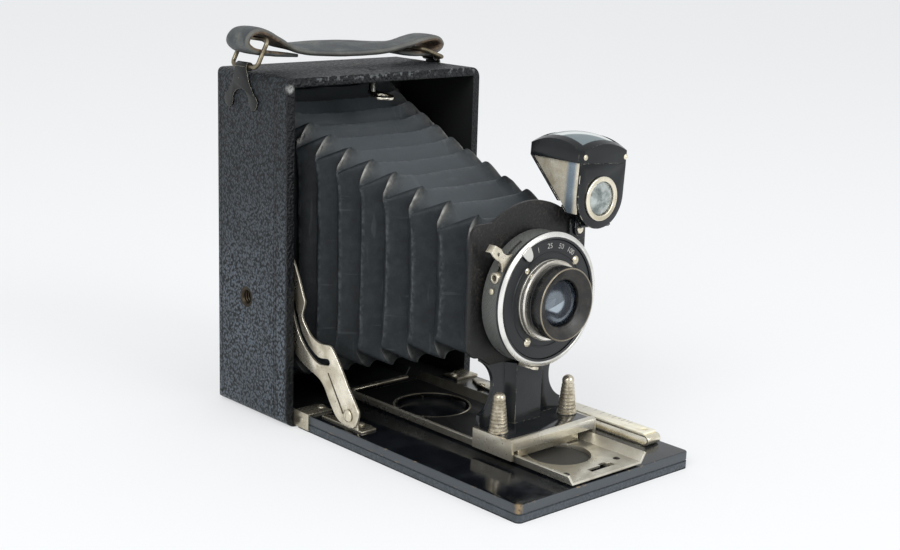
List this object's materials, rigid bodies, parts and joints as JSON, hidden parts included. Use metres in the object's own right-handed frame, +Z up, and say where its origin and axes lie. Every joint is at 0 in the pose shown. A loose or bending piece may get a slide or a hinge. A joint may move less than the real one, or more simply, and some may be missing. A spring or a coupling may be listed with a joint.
{
  "type": "folding plate camera",
  "caption": "Folding plate camera with a drop bed on slotted struts, square bellows, sliding front standard, leaf shutter, swivelling reflex finder and slide-out focusing back.",
  "frame": {"origin": "mouth of the base tripod bush, in the middle of the body's underside", "axes": "-Y is the way the lens looks, +Z is up, +X is to the right of someone who looks at the lens"},
  "size_m": [0.1171, 0.2067, 0.1766],
  "materials": {
    "leather": "pebbled dark blue-grey leather",
    "bellows_cloth": "dark blue-grey bellows cloth, folded",
    "strap_leather": "worn strap leather",
    "black_enamel": "gloss black enamel",
    "worn_black": "worn black paint with brown mottling",
    "matte_black": "flat black",
    "black_wood": "polished black wood",
    "nickel": "aged nickel plate",
    "bright_metal": "bright ring",
    "steel": "blued steel blades",
    "ivory": "ivory scale",
    "lens_glass": "coated by age, blue-grey",
    "mirror_glass": "finder window",
    "ground_glass": "ground",
    "brass": "bush"
  },
  "bodies": {
    "camera": {"body_floor": "leather", "body_top": "leather", "body_side_left": "leather", "body_side_right": "leather", "bellows_rear_frame": "matte_black", "inner_track": "matte_black", "cross_bar": "nickel", "tripod_bushes": "brass", "strap_lugs": "black_enamel", "body_pins": "nickel", "bed_hinge_plates": "nickel", "strut_left": "nickel", "strut_right": "nickel", "strut_brackets": "nickel", "bed_screws": "nickel", "bed_panel": "black_wood", "bed_cover": "leather", "bed_track": "nickel", "track_liner": "matte_black", "scale_strip": "nickel", "focus_scale": "ivory", "back_rails": "matte_black", "bellows": "bellows_cloth"},
    "catch": {"bed_catch": "nickel"},
    "standard": {"saddle": "nickel", "saddle_gib": "nickel", "pedestal": "black_enamel", "lens_board": "worn_black", "bellows_front_frame": "matte_black", "shutter_case": "black_enamel", "face_plate": "black_enamel", "face_screws": "nickel", "iris_blades": "steel", "cable_socket": "nickel", "lens_barrel": "black_enamel", "lens_collar": "nickel", "lens_bezel": "black_enamel", "lens_glasses": "lens_glass", "finder_bracket": "black_enamel"},
    "knob_left": {"pinch_knob_left": "nickel"},
    "knob_right": {"pinch_knob_right": "nickel"},
    "speed_dial": {"speed_ring": "bright_metal"},
    "release": {"release_lever": "nickel"},
    "aperture": {"aperture_lever": "nickel"},
    "finder": {"finder_front": "black_enamel", "finder_lens_ring": "nickel", "finder_lens": "lens_glass", "finder_cheeks": "nickel", "finder_mirror": "black_enamel", "finder_hood": "black_enamel", "finder_top_glass": "mirror_glass", "finder_screws": "nickel"},
    "bail_l": {"bail_left": "nickel"},
    "strap": {"handle_strap": "strap_leather"},
    "bail_r": {"bail_right": "nickel"},
    "back": {"focus_back": "black_wood", "ground_glass": "ground_glass", "hood_pin": "nickel"},
    "lid": {"hood_lid": "leather", "lid_knob": "nickel"}
  },
  "joints": [
    {"name": "standard_slide", "type": "slide", "parent": "camera", "child": "standard", "axis": [0, 1, 0], "range_m": [0, 0.118], "deforming": ["bellows"]},
    {"name": "knob_left_pinch", "type": "slide", "parent": "standard", "child": "knob_left", "axis": [1, 0, 0], "range_m": [0, 0.001], "stiffness_N_per_m": 600},
    {"name": "knob_right_pinch", "type": "slide", "parent": "standard", "child": "knob_right", "axis": [-1, 0, 0], "range_m": [0, 0.001], "stiffness_N_per_m": 600},
    {"name": "speed_dial_turn", "type": "hinge", "parent": "standard", "child": "speed_dial", "pos_m": [0, -0.133, 0.0738], "axis": [0, 1, 0], "range_deg": [0, 60]},
    {"name": "release_press", "type": "hinge", "parent": "standard", "child": "release", "pos_m": [0, -0.1284, 0.0738], "axis": [0, 1, 0], "range_deg": [0, 14], "stiffness_Nm_per_rad": 0.02},
    {"name": "aperture_turn", "type": "hinge", "parent": "standard", "child": "aperture", "pos_m": [0, -0.1259, 0.0738], "axis": [0, 1, 0], "range_deg": [-25, 25]},
    {"name": "finder_swivel", "type": "hinge", "parent": "standard", "child": "finder", "pos_m": [0.0273, -0.1305, 0.0986], "axis": [0, -1, 0], "range_deg": [-86, 4]},
    {"name": "bail_left_swing", "type": "hinge", "parent": "camera", "child": "bail_l", "pos_m": [-0.0548, 0.006, 0.1593], "axis": [0, 1, 0], "range_deg": [-30, 2]},
    {"name": "strap_hang", "type": "hinge", "parent": "bail_l", "child": "strap", "pos_m": [-0.04867, 0.006, 0.17133], "axis": [0, 1, 0], "range_deg": [-5, 34]},
    {"name": "bail_right_swing", "type": "hinge", "parent": "camera", "child": "bail_r", "pos_m": [0.0548, 0.006, 0.1593], "axis": [0, 1, 0], "range_deg": [-4, 17]},
    {"name": "catch_press", "type": "slide", "parent": "camera", "child": "catch", "axis": [0, 0, -1], "range_m": [0, 0.002], "stiffness_N_per_m": 500},
    {"name": "back_slide", "type": "slide", "parent": "camera", "child": "back", "axis": [0, 0, 1], "range_m": [0, 0.12]},
    {"name": "lid_open", "type": "hinge", "parent": "back", "child": "lid", "pos_m": [0, 0.0331, 0.138], "axis": [1, 0, 0], "range_deg": [0, 110]}
  ],
  "couplings": [
    {"joint": "strap_hang", "follows": "bail_left_swing", "ratio": -1},
    {"joint": "bail_right_swing", "follows": "bail_left_swing", "ratio": -0.45}
  ]
}
